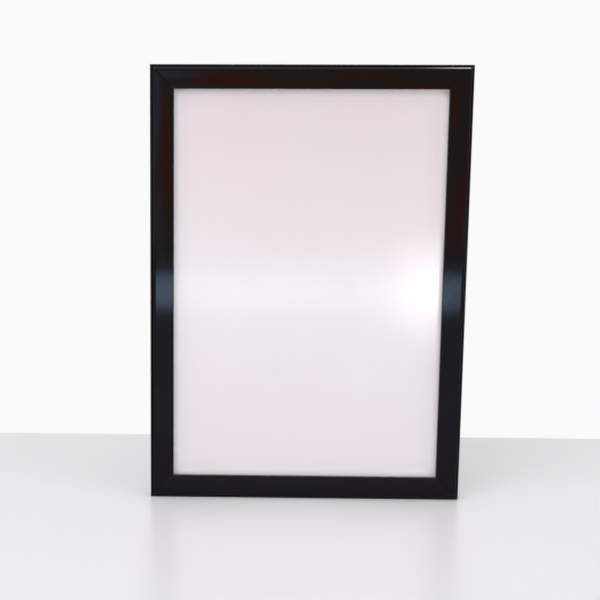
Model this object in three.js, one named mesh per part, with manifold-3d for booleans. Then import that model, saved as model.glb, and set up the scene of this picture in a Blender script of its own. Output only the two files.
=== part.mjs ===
// Slim light-box poster frame: four mitred front rails that hinge open, over four mitred base rails
// that hold an edge-lit panel.
// Millimetres, +Z up. The face looks towards -Y, and the origin is the middle of the underside.
//
// Each rail is drawn as a section in two distances: u, from the frame's outer edge towards its
// middle, and v, from the face's front plane towards the back. It is then run along s, the length
// of its side, and mitred at both ends.

import * as THREE from 'three';
import { mergeVertices } from 'three/addons/utils/BufferGeometryUtils.js';
import Module from 'manifold-3d';

const wasm = await Module();
wasm.setup();

// Poster and rails
const posterWidth = 297;
const posterHeight = 420;
const posterLap = 9.5; // how far a rail covers the poster's edge
const railWidth = 24.5; // outer edge to inner edge, as seen from the front

// Clearances
const fitGap = 0.3; // between a piece and what it lies in or against
const mitreGap = 0.15; // each rail stops this short of the mitre plane
const overrun = 2; // how far a cutting shape runs past what it cuts

// Front rail
const shoulderRadius = 4.6; // rounded outer edge, about the hinge
const shoulderEnd = 45; // degrees, where the rounding stops, so that the mitres clear when open
const plateThickness = 1.4;
const faceDrop = 0.6; // how far the face falls towards its inner edge
const edgeRadius = 0.7;
const lipThickness = 1.4;
const beadRadius = 1.1;
const legThickness = 1;
const catchThickness = 1;
const catchReach = 0.6; // past the hinge's depth
const catchOffset = 5.1; // from the hinge to the catch rib

// Base rail
const wallThickness = 1.3;
const socketWall = 1.1;
const socketOuterReach = 1.9; // from the hinge to the socket's outer side
const socketStart = 35; // degrees from the outward direction, turning towards the back
const socketStop = 235;
const grooveStop = 62;
const rimSetback = 3; // the outer wall's front edge, behind the face
const rimRadius = 0.8;
const chamberWidth = 8.9; // clear width of the hollow for the corner keys
const seatThickness = 1.2;
const flangeThickness = 1.6;
const flangeLap = 0.9; // the seat and the flange end this far inside the rail's inner edge
const guideRibHeight = 1.2;
const guideRibThickness = 0.7;

// Panel stack, front to back
const coverThickness = 1;
const diffuserThickness = 2;
const lightGuideThickness = 6;
const reflectorThickness = 0.5;
const backPanelThickness = 3;
const coverCornerRadius = 2;

// Spring clips
const clipLength = 60;
const clipThickness = 0.4;
const clipPlay = 0.5; // from a leg to the catch rib
const clipHeight = 2.5;
const clipFlare = 0.3;
const shortSideClipInset = 19; // from the rails' inner edge to the near end of a clip
const longSideClipInset = 30.5;

// Corner keys
const keyArmLength = 45;
const keyThickness = 3;
const keyScrewDistance = 30;

// Countersunk screws
const screwRadius = 1.5;
const screwHeadRadius = 2.8;
const screwHeadDepth = 1.3;
const screwTipTaper = 0.5;
const recessLength = 3.2;
const recessWidth = 0.7;
const recessDepth = 0.8;
const keyScrewLength = 4.9;
const hangerScrewLength = 4;
const inletScrewLength = 7;

// LED boards, packers and leads
const boardEndGap = 20; // from each end of a board to the poster's corner
const boardThickness = 1.2;
const ledCount = 24;
const ledLength = 3.5;
const ledWidth = 2.8;
const ledThickness = 0.9;
const solderDepth = 0.1; // how far a chip's pads sink into the board
const packerEndGap = 8.5; // from each end of a packer to the poster's corner
const leadRadius = 0.9;
const leadBendRadius = 2;
const leadHoleRadius = 1.5;
const leadTail = 9; // from the lead's hole to the board's lower end
const boardLeadOffset = 0.9; // from the board's back face

// Power inlet
const inletHeight = 70; // above the frame's underside
const inletBodyLength = 20;
const inletNoseRadius = 4;
const inletBoreRadius = 3.1;
const inletBoreDepth = 8.5;
const inletPinRadius = 1;
const inletPinSetback = 4.3; // from the rail's outer face to the tip of the pin
const inletScrewSpacing = 14;
const contactLength = 7.7;
const contactWidth = 2.4;
const contactThickness = 0.4;
const contactDepth = 3.2; // from the bore's middle to the contact's inner face
const leadSpacing = 2.8;

// Keyhole hangers
const hangerLength = 44;
const hangerWidth = 22;
const hangerThickness = 1.2;
const hangerCornerRadius = 3;
const hangerScrewSpacing = 32;
const hangerInset = 22; // from the rail's inner edge to the plate's middle
const topHangerEndInset = 17; // from the rails' inner edge to the near end of a plate
const sideHangerEndInset = 78.5;
const keyholeRadius = 4.25;
const keyholeSlotRadius = 2.1;
const keyholeSlotLength = 6; // from the round hole's middle to that of the slot's round end
const pocketRadius = 5;

// Smoothness of round stretches
const arcStep = 15; // degrees
const faceSteps = 6;
const screwSides = 12;
const boreSides = 24;
const leadSides = 8;
const bendSteps = 4;

// Places that follow from the sizes above
const rightAngle = Math.PI / 2;
const frameWidth = posterWidth + 2 * (railWidth - posterLap);
const frameHeight = posterHeight + 2 * (railWidth - posterLap);
const posterEdge = railWidth - posterLap;
const hingeU = wallThickness + fitGap + shoulderRadius;
const hingeV = shoulderRadius;
const socketRadius = beadRadius + fitGap;
const sweepRadius = shoulderRadius + fitGap;
const lipBottom = hingeV;
const coverFront = lipBottom + fitGap;
const seatFront = coverFront + coverThickness + fitGap;
const seatBack = seatFront + seatThickness;
const diffuserFront = seatBack + fitGap;
const lightGuideFront = diffuserFront + diffuserThickness + fitGap;
const reflectorFront = lightGuideFront + lightGuideThickness + fitGap;
const backPanelFront = reflectorFront + reflectorThickness + fitGap;
const flangeFront = backPanelFront + backPanelThickness + fitGap;
const frameDepth = flangeFront + flangeThickness;
const chamberEnd = wallThickness + chamberWidth;
const pocketStart = chamberEnd + wallThickness; // where the panel's groove begins
const seatEnd = railWidth - flangeLap;
const grooveFloor = hingeV + sweepRadius * Math.sin(THREE.MathUtils.degToRad(grooveStop));
const chamberFront = grooveFloor + wallThickness;
const keyEdge = wallThickness + fitGap;
const keyInnerEdge = chamberEnd - fitGap;
const keyMiddle = (keyEdge + keyInnerEdge) / 2;
const keyFront = flangeFront - fitGap - keyThickness;
const inletV = (chamberFront + flangeFront) / 2;
const inletBack = flangeFront - fitGap;
const inletFront = chamberFront + fitGap;
const boardWidth = backPanelFront - fitGap - lightGuideFront;
const boardFace = pocketStart + fitGap + boardThickness;
const boardLength = posterHeight - 2 * boardEndGap;
const packerLength = posterWidth - 2 * packerEndGap;
const boardEnd = posterEdge + boardEndGap; // the boards' lower end, above the frame's underside
const leadHoleHeight = boardEnd - leadTail;

// Finishes
const glossBlack = { color: 0x1d191a, roughness: 0.12, metalness: 0.1 };
const satinBlack = { color: 0x211f20, roughness: 0.4, metalness: 0.3 };
const clearPlastic = { color: 0xf4f6f7, roughness: 0.05, metalness: 0, transparent: true, opacity: 0.2 };
const opalAcrylic = { color: 0xeee4e9, roughness: 0.35, metalness: 0 };
const clearAcrylic = { color: 0xe9f3f0, roughness: 0.08, metalness: 0, transparent: true, opacity: 0.45 };
const whiteFilm = { color: 0xf5f5f3, roughness: 0.6, metalness: 0 };
const greyPanel = { color: 0x8f9294, roughness: 0.55, metalness: 0.1 };
const whiteFoam = { color: 0xe9e8e4, roughness: 0.9, metalness: 0 };
const castZinc = { color: 0x9a9c9e, roughness: 0.45, metalness: 0.8 };
const plainSteel = { color: 0xb8babc, roughness: 0.3, metalness: 1 };
const springSteel = { color: 0xa7abad, roughness: 0.25, metalness: 1 };
const whiteBoard = { color: 0xf0f0ec, roughness: 0.5, metalness: 0 };
const mouldedBlack = { color: 0x1a1a1b, roughness: 0.6, metalness: 0 };
const platedBrass = { color: 0xc9a24b, roughness: 0.25, metalness: 1 };
const redSleeve = { color: 0xa51d1d, roughness: 0.5, metalness: 0 };
const blackSleeve = { color: 0x161616, roughness: 0.5, metalness: 0 };

const frame = new THREE.Group();

const addMesh = (parent, name, geometry, finish) => {
  const mesh = new THREE.Mesh(geometry, new THREE.MeshStandardMaterial(finish));
  mesh.name = name;
  parent.add(mesh);
  return mesh;
};

// Solids from outlines

const point = (u, v) => new THREE.Vector2(u, v);

// A point round the hinge. The angle is in degrees from the outward direction, turning to the back.
const aroundHinge = (radius, degrees) => {
  const angle = THREE.MathUtils.degToRad(degrees);
  return point(hingeU - radius * Math.cos(angle), hingeV + radius * Math.sin(angle));
};

const hingeArc = (radius, start, stop) => {
  const steps = Math.max(1, Math.ceil(Math.abs(stop - start) / arcStep));
  return Array.from({ length: steps + 1 }, (_, i) =>
    aroundHinge(radius, start + ((stop - start) * i) / steps));
};

// A quarter-round between two straight edges, from one direction to the next, in degrees.
const cornerArc = (centre, radius, start, stop) => {
  const steps = Math.max(1, Math.ceil(Math.abs(stop - start) / arcStep));
  return Array.from({ length: steps + 1 }, (_, i) => {
    const angle = THREE.MathUtils.degToRad(start + ((stop - start) * i) / steps);
    return point(centre.x + radius * Math.cos(angle), centre.y + radius * Math.sin(angle));
  });
};

const extruded = (shape, depth) => new THREE.ExtrudeGeometry(shape, { depth, bevelEnabled: false });

// A section run along a side and mitred: each end moves in by the point's own distance u, or by the
// square-cut inset of the points that would foul the next rail as the bead turns.
const mitredRail = (shape, length, insetAt) => {
  const geometry = extruded(shape, 1);
  const position = geometry.getAttribute('position');
  for (let i = 0; i < position.count; i += 1) {
    const inset = insetAt(position.getX(i), position.getY(i)) + mitreGap;
    const end = length / 2 - inset;
    position.setZ(i, position.getZ(i) > 0 ? end : -end);
  }
  geometry.computeVertexNormals();
  return geometry;
};

const straightRun = (shape, length) => extruded(shape, length).translate(0, 0, -length / 2);

const block = (lowU, highU, lowV, highV, lowS, highS) =>
  new THREE.BoxGeometry(highU - lowU, highV - lowV, highS - lowS)
    .translate((lowU + highU) / 2, (lowV + highV) / 2, (lowS + highS) / 2);

const roundedPanel = (width, height, radius) => {
  const x = width / 2 - radius;
  const y = height / 2 - radius;
  return new THREE.Shape([
    ...cornerArc(point(x, y), radius, 0, 90),
    ...cornerArc(point(-x, y), radius, 90, 180),
    ...cornerArc(point(-x, -y), radius, 180, 270),
    ...cornerArc(point(x, -y), radius, 270, 360),
  ]);
};

const hole = (shape, points) => {
  shape.holes.push(new THREE.Path(points));
  return shape;
};

// Booleans

const toSolid = (geometry) => {
  const bare = geometry.clone();
  bare.deleteAttribute('normal');
  bare.deleteAttribute('uv');
  const merged = mergeVertices(bare);
  return new wasm.Manifold(new wasm.Mesh({
    numProp: 3,
    vertProperties: new Float32Array(merged.getAttribute('position').array),
    triVerts: new Uint32Array(merged.index.array),
  }));
};

const toGeometry = (solid) => {
  const mesh = solid.getMesh();
  const geometry = new THREE.BufferGeometry();
  geometry.setAttribute('position', new THREE.BufferAttribute(mesh.vertProperties, 3));
  geometry.setIndex(new THREE.BufferAttribute(mesh.triVerts, 1));
  geometry.computeVertexNormals();
  return geometry;
};

const cut = (geometry, tools) =>
  toGeometry(tools.reduce((solid, tool) => solid.subtract(toSolid(tool)), toSolid(geometry)));

const join = (geometry, pieces) =>
  toGeometry(pieces.reduce((solid, piece) => solid.add(toSolid(piece)), toSolid(geometry)));

// Screws, each with its head's top at the origin and its tip towards -y

const turned = (profile, sides) => new THREE.LatheGeometry(profile, sides);

const countersunkScrew = (length) => {
  const blank = turned([
    point(0, -length),
    point(screwRadius - screwTipTaper, -length),
    point(screwRadius, screwTipTaper - length),
    point(screwRadius, -screwHeadDepth),
    point(screwHeadRadius, 0),
    point(0, 0),
  ], screwSides);
  const arm = new THREE.BoxGeometry(recessLength, 2 * recessDepth, recessWidth);
  return cut(blank, [arm, arm.clone().rotateY(rightAngle)]);
};

const countersunkHole = (depth) => turned([
  point(0, -depth),
  point(screwRadius + fitGap, -depth),
  point(screwRadius + fitGap, -screwHeadDepth),
  point(screwHeadRadius + fitGap, 0),
  point(screwHeadRadius + fitGap, overrun),
  point(0, overrun),
], boreSides);

// A cylinder along u, from one distance to another
const boreAlongU = (radius, start, stop, v, s) =>
  new THREE.CylinderGeometry(radius, radius, stop - start, boreSides)
    .rotateZ(-rightAngle)
    .translate((start + stop) / 2, v, s);

// A route with round bends through a row of corners in the u-s plane, at one depth v. Its points
// stand close together in the bends and far apart on the straight runs.
class LeadRoute extends THREE.Curve {
  constructor(corners, v) {
    super();
    this.stops = corners.flatMap((corner, i) => {
      const before = corners[i - 1];
      const after = corners[i + 1];
      if (!before || !after) {
        return [new THREE.Vector3(corner.x, v, corner.y)];
      }
      const into = corner.clone().sub(before).normalize();
      const out = after.clone().sub(corner).normalize();
      return Array.from({ length: bendSteps + 1 }, (_, step) => {
        const angle = (rightAngle * step) / bendSteps;
        const place = corner.clone()
          .addScaledVector(into, leadBendRadius * (Math.sin(angle) - 1))
          .addScaledVector(out, leadBendRadius * (1 - Math.cos(angle)));
        return new THREE.Vector3(place.x, v, place.y);
      });
    });
  }

  getPointAt(share) {
    return this.stops[Math.round(share * (this.stops.length - 1))].clone();
  }

  getTangentAt(share) {
    const i = Math.round(share * (this.stops.length - 1));
    const before = this.stops[Math.max(i - 1, 0)];
    const after = this.stops[Math.min(i + 1, this.stops.length - 1)];
    return after.clone().sub(before).normalize();
  }
}

const leadAlong = (corners, v) => {
  const route = new LeadRoute(corners, v);
  const section = new THREE.Shape(Array.from({ length: leadSides }, (_, side) => {
    const angle = (2 * Math.PI * side) / leadSides;
    return point(leadRadius * Math.cos(angle), leadRadius * Math.sin(angle));
  }));
  return new THREE.ExtrudeGeometry(section, { steps: route.stops.length - 1, extrudePath: route });
};

// Sides of the frame: a group holds the pieces of one side in its own u, v and s directions

const sides = {
  left: { length: frameHeight, place: [-frameWidth / 2, frameHeight / 2], turn: 0 },
  top: { length: frameWidth, place: [0, frameHeight], turn: rightAngle },
  right: { length: frameHeight, place: [frameWidth / 2, frameHeight / 2], turn: 2 * rightAngle },
  bottom: { length: frameWidth, place: [0, 0], turn: 3 * rightAngle },
};

for (const side of Object.values(sides)) {
  side.group = new THREE.Group();
  side.group.position.set(side.place[0], -frameDepth / 2, side.place[1]);
  side.group.rotation.y = side.turn;
  frame.add(side.group);
}

// The s of a place on the right side, from its height above the underside. s runs down there.
const rightS = (height) => frameHeight / 2 - height;
const leftS = (height) => height - frameHeight / 2;

// Base rails: outer wall, hinge groove and socket, hollow chamber, seat for the poster and rear flange

const clipOuterLeg = hingeU + catchOffset - clipPlay;
const clipInnerLeg = hingeU + catchOffset + catchThickness + clipPlay;

const guideRib = (start) => [
  point(start, seatFront),
  point(start, seatFront - guideRibHeight),
  point(start + guideRibThickness, seatFront - guideRibHeight),
  point(start + guideRibThickness, seatFront),
];

const baseSection = () => {
  const socketOuter = socketRadius + socketWall;
  const tipAngle = THREE.MathUtils.degToRad(socketStart);
  const outline = [
    point(0, frameDepth),
    ...cornerArc(point(rimRadius, rimSetback + rimRadius), rimRadius, 180, 270),
    point(wallThickness, rimSetback),
    ...hingeArc(sweepRadius, 0, grooveStop),
    point(hingeU - socketOuterReach, grooveFloor),
    point(hingeU - socketOuterReach, hingeV + socketOuterReach * Math.tan(tipAngle)),
    ...hingeArc(socketRadius, socketStart, socketStop),
    ...hingeArc(socketOuter, socketStop, 180),
    point(hingeU + socketOuter, seatFront),
    ...guideRib(clipOuterLeg - clipThickness - fitGap - guideRibThickness),
    ...guideRib(clipInnerLeg + clipThickness + fitGap),
    point(seatEnd, seatFront),
    point(seatEnd, seatBack),
    point(pocketStart, seatBack),
    point(pocketStart, flangeFront),
    point(seatEnd, flangeFront),
    point(seatEnd, frameDepth),
  ];
  const step = hingeU - socketOuterReach + wallThickness;
  return hole(new THREE.Shape(outline), [
    point(wallThickness, chamberFront),
    point(step, chamberFront),
    point(step, seatBack),
    point(chamberEnd, seatBack),
    point(chamberEnd, flangeFront),
    point(wallThickness, flangeFront),
  ]);
};

const keyScrewHoles = (length) => [-1, 1].map((end) =>
  countersunkHole(flangeThickness + overrun)
    .translate(keyMiddle, frameDepth, end * (length / 2 - keyScrewDistance)));

const inletHoles = () => [
  boreAlongU(inletNoseRadius + fitGap, -overrun, wallThickness + overrun, inletV, rightS(inletHeight)),
  ...[-1, 1].map((end) => countersunkHole(flangeThickness + overrun)
    .translate(keyMiddle, frameDepth, rightS(inletHeight) + (end * inletScrewSpacing) / 2)),
];

const leadHole = (v, s) =>
  boreAlongU(leadHoleRadius, chamberEnd - overrun / 2, pocketStart + overrun / 2, v, s);

const rightLeadV = inletV - leadSpacing;
const leftLeadV = inletV;

const sideHoles = {
  left: [leadHole(leftLeadV, leftS(leadHoleHeight))],
  right: [...inletHoles(), leadHole(rightLeadV, rightS(leadHoleHeight))],
  top: [],
  bottom: [],
};

for (const [name, side] of Object.entries(sides)) {
  const blank = mitredRail(baseSection(), side.length, (u) => u);
  const rail = cut(blank, [...keyScrewHoles(side.length), ...sideHoles[name]]);
  addMesh(side.group, `base_rail_${name}`, rail, satinBlack);
}

// Front rails: rounded shoulder, hinge bead on a leg, slightly falling face, catch rib and inner lip

const faceAt = (u) => faceDrop * ((u - hingeU) / (railWidth - hingeU)) ** 2;
const underside = (u) => point(u, plateThickness + faceAt(u));
const beadStart = THREE.MathUtils.radToDeg(Math.acos(legThickness / 2 / beadRadius));
const legRootAngle = THREE.MathUtils.radToDeg(
  Math.acos(legThickness / 2 / (shoulderRadius - plateThickness)),
);

const snapSection = () => {
  const catchStart = hingeU + catchOffset;
  const catchEnd = catchStart + catchThickness;
  const lipStart = railWidth - lipThickness;
  const edgeCentre = point(railWidth - edgeRadius, faceAt(railWidth) + edgeRadius);
  const face = Array.from({ length: faceSteps + 1 }, (_, i) => {
    const u = railWidth - edgeRadius - ((railWidth - edgeRadius - hingeU) * i) / faceSteps;
    return point(u, faceAt(u));
  });
  return new THREE.Shape([
    ...hingeArc(shoulderRadius - plateThickness, -shoulderEnd, -legRootAngle),
    ...hingeArc(beadRadius, -beadStart, 180 + beadStart),
    underside(hingeU + legThickness / 2),
    underside(catchStart),
    point(catchStart, hingeV + catchReach),
    point(catchEnd, hingeV + catchReach),
    underside(catchEnd),
    underside((catchEnd + lipStart) / 2),
    underside(lipStart),
    point(lipStart, lipBottom),
    point(railWidth, lipBottom),
    ...cornerArc(edgeCentre, edgeRadius, 0, -90),
    ...face.slice(1),
    ...hingeArc(shoulderRadius, -90, -shoulderEnd).slice(1),
  ]);
};

// The bead turns inside its own radius, so its ends stop clear of the next rail's socket.
const beadInset = hingeU + beadRadius + fitGap;
const snapInset = (u, v) => {
  const onBead = Math.hypot(u - hingeU, v - hingeV) < beadRadius + fitGap;
  return onBead ? Math.max(u, beadInset) : u;
};

for (const [name, side] of Object.entries(sides)) {
  addMesh(side.group, `snap_rail_${name}`, mitredRail(snapSection(), side.length, snapInset), glossBlack);
}

// Spring clips: folded strips on the base rail that grip the catch rib when the rail is shut

const clipSection = () => {
  const floor = seatFront - fitGap;
  const tip = floor - clipHeight;
  const outer = clipOuterLeg - clipThickness;
  const inner = clipInnerLeg + clipThickness;
  return new THREE.Shape([
    point(outer, floor),
    point(outer, tip + clipFlare),
    point(outer - clipFlare, tip),
    point(clipOuterLeg - clipFlare, tip),
    point(clipOuterLeg, tip + clipFlare),
    point(clipOuterLeg, floor - clipThickness),
    point(clipInnerLeg, floor - clipThickness),
    point(clipInnerLeg, tip + clipFlare),
    point(clipInnerLeg + clipFlare, tip),
    point(inner + clipFlare, tip),
    point(inner, tip + clipFlare),
    point(inner, floor),
  ]);
};

const shortSideClip = frameWidth / 2 - railWidth - shortSideClipInset - clipLength / 2;
const longSideClip = frameHeight / 2 - railWidth - longSideClipInset - clipLength / 2;
const clipPlaces = {
  top: [-shortSideClip, shortSideClip],
  bottom: [-shortSideClip, shortSideClip],
  left: [-longSideClip, 0, longSideClip],
  right: [-longSideClip, 0, longSideClip],
};

for (const [name, side] of Object.entries(sides)) {
  clipPlaces[name].forEach((s, i) => {
    const strip = straightRun(clipSection(), clipLength);
    const clip = addMesh(side.group, `snap_clip_${name}_${i + 1}`, strip, springSteel);
    clip.position.z = s;
  });
}

// Corner keys: flat angles in the hollow of the base rails, drawn for the top left corner

const keyGeometry = () => {
  const outline = new THREE.Shape([
    point(keyEdge, keyEdge),
    point(keyArmLength, keyEdge),
    point(keyArmLength, keyInnerEdge),
    point(keyInnerEdge, keyInnerEdge),
    point(keyInnerEdge, keyArmLength),
    point(keyEdge, keyArmLength),
  ]);
  for (const centre of [point(keyScrewDistance, keyMiddle), point(keyMiddle, keyScrewDistance)]) {
    hole(outline, cornerArc(centre, screwRadius + fitGap, 0, 360).slice(1));
  }
  return extruded(outline, keyThickness).rotateX(-rightAngle);
};

const corners = [
  { name: 'top_left', place: [-frameWidth / 2, frameHeight] },
  { name: 'top_right', place: [frameWidth / 2, frameHeight] },
  { name: 'bottom_right', place: [frameWidth / 2, 0] },
  { name: 'bottom_left', place: [-frameWidth / 2, 0] },
];

corners.forEach((corner, i) => {
  const key = addMesh(frame, `corner_key_${corner.name}`, keyGeometry(), castZinc);
  key.position.set(corner.place[0], keyFront - frameDepth / 2, corner.place[1]);
  key.rotation.y = i * rightAngle;
});

for (const [name, side] of Object.entries(sides)) {
  [-1, 1].forEach((end, i) => {
    const blank = countersunkScrew(keyScrewLength);
    const screw = addMesh(side.group, `corner_screw_${name}_${i + 1}`, blank, plainSteel);
    screw.position.set(keyMiddle, frameDepth, end * (side.length / 2 - keyScrewDistance));
  });
}

// Panel stack, centred on the picture area

const stack = new THREE.Group();
stack.position.set(0, -frameDepth / 2, frameHeight / 2);
frame.add(stack);

// A flat outline laid upright, with its front at the depth given. The outline's y points down.
const sheet = (shape, front, thickness) =>
  extruded(shape, thickness).rotateX(-rightAngle).translate(0, front, 0);

const pocketWidth = frameWidth - 2 * (pocketStart + fitGap);
const pocketHeight = frameHeight - 2 * (pocketStart + fitGap);
const squarePanel = (width, height) => new THREE.Shape([
  point(-width / 2, -height / 2),
  point(width / 2, -height / 2),
  point(width / 2, height / 2),
  point(-width / 2, height / 2),
]);

addMesh(stack, 'cover_sheet',
  sheet(roundedPanel(posterWidth, posterHeight, coverCornerRadius), coverFront, coverThickness),
  clearPlastic);
addMesh(stack, 'diffuser_panel',
  sheet(squarePanel(pocketWidth, pocketHeight), diffuserFront, diffuserThickness), opalAcrylic);
addMesh(stack, 'light_guide',
  sheet(squarePanel(posterWidth, posterHeight), lightGuideFront, lightGuideThickness), clearAcrylic);
addMesh(stack, 'reflector_sheet',
  sheet(squarePanel(posterWidth, posterHeight), reflectorFront, reflectorThickness), whiteFilm);

// Hangers: two for hanging upright, and two on the left for hanging on the side with the inlet down.
// Each is placed in the stack by its own matrix. There x runs along the frame's side and +z runs
// towards the outer edge, which is up when the frame hangs by it, so the slot runs that way.

const hangerPlace = (turn, across, reach) => new THREE.Matrix4()
  .makeRotationY(turn)
  .multiply(new THREE.Matrix4().makeTranslation(across, 0, reach - railWidth - hangerInset));

const topHangerAcross = frameWidth / 2 - railWidth - topHangerEndInset - hangerLength / 2;
const sideHangerAcross = frameHeight / 2 - railWidth - sideHangerEndInset - hangerLength / 2;
const hangers = [
  { name: 'top_left', place: hangerPlace(0, -topHangerAcross, frameHeight / 2) },
  { name: 'top_right', place: hangerPlace(0, topHangerAcross, frameHeight / 2) },
  { name: 'side_lower', place: hangerPlace(-rightAngle, -sideHangerAcross, frameWidth / 2) },
  { name: 'side_upper', place: hangerPlace(-rightAngle, sideHangerAcross, frameWidth / 2) },
];

const keyholeOutline = () => {
  const joinAngle = THREE.MathUtils.radToDeg(Math.asin(keyholeSlotRadius / keyholeRadius));
  return [
    ...cornerArc(point(0, 0), keyholeRadius, joinAngle - 90, 270 - joinAngle),
    ...cornerArc(point(0, -keyholeSlotLength), keyholeSlotRadius, 180, 360),
  ];
};

const hangerPlate = () => {
  const outline = hole(roundedPanel(hangerLength, hangerWidth, hangerCornerRadius), keyholeOutline());
  const plate = sheet(outline, flangeFront, hangerThickness);
  return cut(plate, [-1, 1].map((end) => countersunkHole(hangerThickness + overrun)
    .translate((end * hangerScrewSpacing) / 2, flangeFront + hangerThickness, 0)));
};

for (const hanger of hangers) {
  const group = new THREE.Group();
  group.applyMatrix4(hanger.place);
  stack.add(group);
  addMesh(group, `hanger_plate_${hanger.name}`, hangerPlate(), plainSteel);
  [-1, 1].forEach((end, i) => {
    const name = `hanger_screw_${hanger.name}_${i + 1}`;
    const screw = addMesh(group, name, countersunkScrew(hangerScrewLength), plainSteel);
    screw.position.set((end * hangerScrewSpacing) / 2, flangeFront + hangerThickness, 0);
  });
}

// Back panel, with a pocket behind each keyhole for the wall screw's head

const backPanel = () => {
  const blank = sheet(squarePanel(pocketWidth, pocketHeight), backPanelFront, backPanelThickness);
  const depth = backPanelThickness + 2 * overrun;
  const middle = backPanelFront + backPanelThickness / 2;
  const pocketOutline = [
    ...cornerArc(point(0, 0), pocketRadius, 0, 180),
    ...cornerArc(point(0, -keyholeSlotLength), pocketRadius, 180, 360),
  ];
  const tools = hangers.flatMap((hanger) => {
    const pocket = sheet(new THREE.Shape(pocketOutline), middle - depth / 2, depth);
    const pilots = [-1, 1].map((end) =>
      new THREE.CylinderGeometry(screwRadius + fitGap, screwRadius + fitGap, depth, boreSides)
        .translate((end * hangerScrewSpacing) / 2, middle, 0));
    return [pocket, ...pilots].map((tool) => tool.applyMatrix4(hanger.place));
  });
  return cut(blank, tools);
};

addMesh(stack, 'back_panel', backPanel(), greyPanel);

// Packers that hold the light guide off the top and bottom rails

for (const name of ['top', 'bottom']) {
  const packer = block(pocketStart + fitGap, posterEdge - fitGap, lightGuideFront,
    lightGuideFront + boardWidth, -packerLength / 2, packerLength / 2);
  addMesh(sides[name].group, `packer_${name}`, packer, whiteFoam);
}

// LED strips along the long sides, shining into the light guide's edges

const ledStrip = () => {
  const board = block(pocketStart + fitGap, boardFace, lightGuideFront, lightGuideFront + boardWidth,
    -boardLength / 2, boardLength / 2);
  const chipV = lightGuideFront + lightGuideThickness / 2;
  const pitch = boardLength / ledCount;
  const chips = Array.from({ length: ledCount }, (_, i) => {
    const s = (i + 1 / 2) * pitch - boardLength / 2;
    return block(boardFace - solderDepth, boardFace + ledThickness, chipV - ledWidth / 2,
      chipV + ledWidth / 2, s - ledLength / 2, s + ledLength / 2);
  });
  return join(board, chips);
};

for (const name of ['left', 'right']) {
  addMesh(sides[name].group, `led_strip_${name}`, ledStrip(), whiteBoard);
}

// Power inlet in the right base rail

const inletS = rightS(inletHeight);
const right = sides.right.group;
const inletBodyEnd = inletBodyLength / 2;

const inletBody = () => {
  const shell = block(keyEdge, keyInnerEdge, inletFront, inletBack,
    inletS - inletBodyEnd, inletS + inletBodyEnd);
  const nose = boreAlongU(inletNoseRadius, 0, keyEdge + wallThickness, inletV, inletS);
  const screwDepth = inletScrewLength - flangeThickness + fitGap;
  const pilots = [-1, 1].map((end) =>
    new THREE.CylinderGeometry(screwRadius + fitGap, screwRadius + fitGap, 2 * screwDepth, boreSides)
      .translate(keyMiddle, inletBack, inletS + (end * inletScrewSpacing) / 2));
  return cut(join(shell, [nose]), [
    boreAlongU(inletBoreRadius, -overrun, inletBoreDepth, inletV, inletS),
    boreAlongU(inletPinRadius + fitGap, inletBoreDepth - overrun, keyInnerEdge + overrun, inletV, inletS),
    block(keyInnerEdge - contactLength - fitGap, keyInnerEdge + overrun,
      inletV - contactDepth - contactThickness - fitGap, inletV - contactDepth + fitGap,
      inletS - contactWidth / 2 - fitGap, inletS + contactWidth / 2 + fitGap),
    ...pilots,
  ]);
};

addMesh(right, 'inlet_body', inletBody(), mouldedBlack);
addMesh(right, 'inlet_pin',
  boreAlongU(inletPinRadius, inletPinSetback, keyInnerEdge, inletV, inletS), platedBrass);
addMesh(right, 'inlet_contact',
  block(keyInnerEdge - contactLength, keyInnerEdge,
    inletV - contactDepth - contactThickness, inletV - contactDepth,
    inletS - contactWidth / 2, inletS + contactWidth / 2), platedBrass);
['upper', 'lower'].forEach((name, i) => {
  const screw = addMesh(right, `inlet_screw_${name}`, countersunkScrew(inletScrewLength), plainSteel);
  screw.position.set(keyMiddle, frameDepth, inletS + (i - 1 / 2) * inletScrewSpacing);
});

// Leads from the inlet to the two boards, through the hollow rails

const leadU = pocketStart + fitGap + boardLeadOffset;

// Both leads are drawn in the right side's directions, where s runs down from the middle.
const leadStart = point(keyMiddle, inletS + inletBodyEnd + fitGap);
const rightLead = leadAlong([
  leadStart,
  point(keyMiddle, rightS(leadHoleHeight)),
  point(leadU, rightS(leadHoleHeight)),
  point(leadU, rightS(boardEnd - fitGap)),
], rightLeadV);
addMesh(right, 'lead_right', rightLead, redSleeve);

const leftLead = leadAlong([
  leadStart,
  point(keyMiddle, rightS(keyMiddle)),
  point(frameWidth - keyMiddle, rightS(keyMiddle)),
  point(frameWidth - keyMiddle, rightS(leadHoleHeight)),
  point(frameWidth - leadU, rightS(leadHoleHeight)),
  point(frameWidth - leadU, rightS(boardEnd - fitGap)),
], leftLeadV);
addMesh(right, 'lead_left', leftLead, blackSleeve);

export default frame;
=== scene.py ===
"""Dresses and lights a slim light-box poster frame whose gloss rails hinge open over an edge-lit panel."""
import logging
import math
from dataclasses import dataclass
from enum import Enum
from typing import Any, Callable, Iterable, Optional, Sequence, Union

import bmesh
import bpy
from bpy.types import Camera, Light, Material, Mesh, Node, NodeSocket, NodeTree, Object
from mathutils import Matrix, Vector


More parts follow.
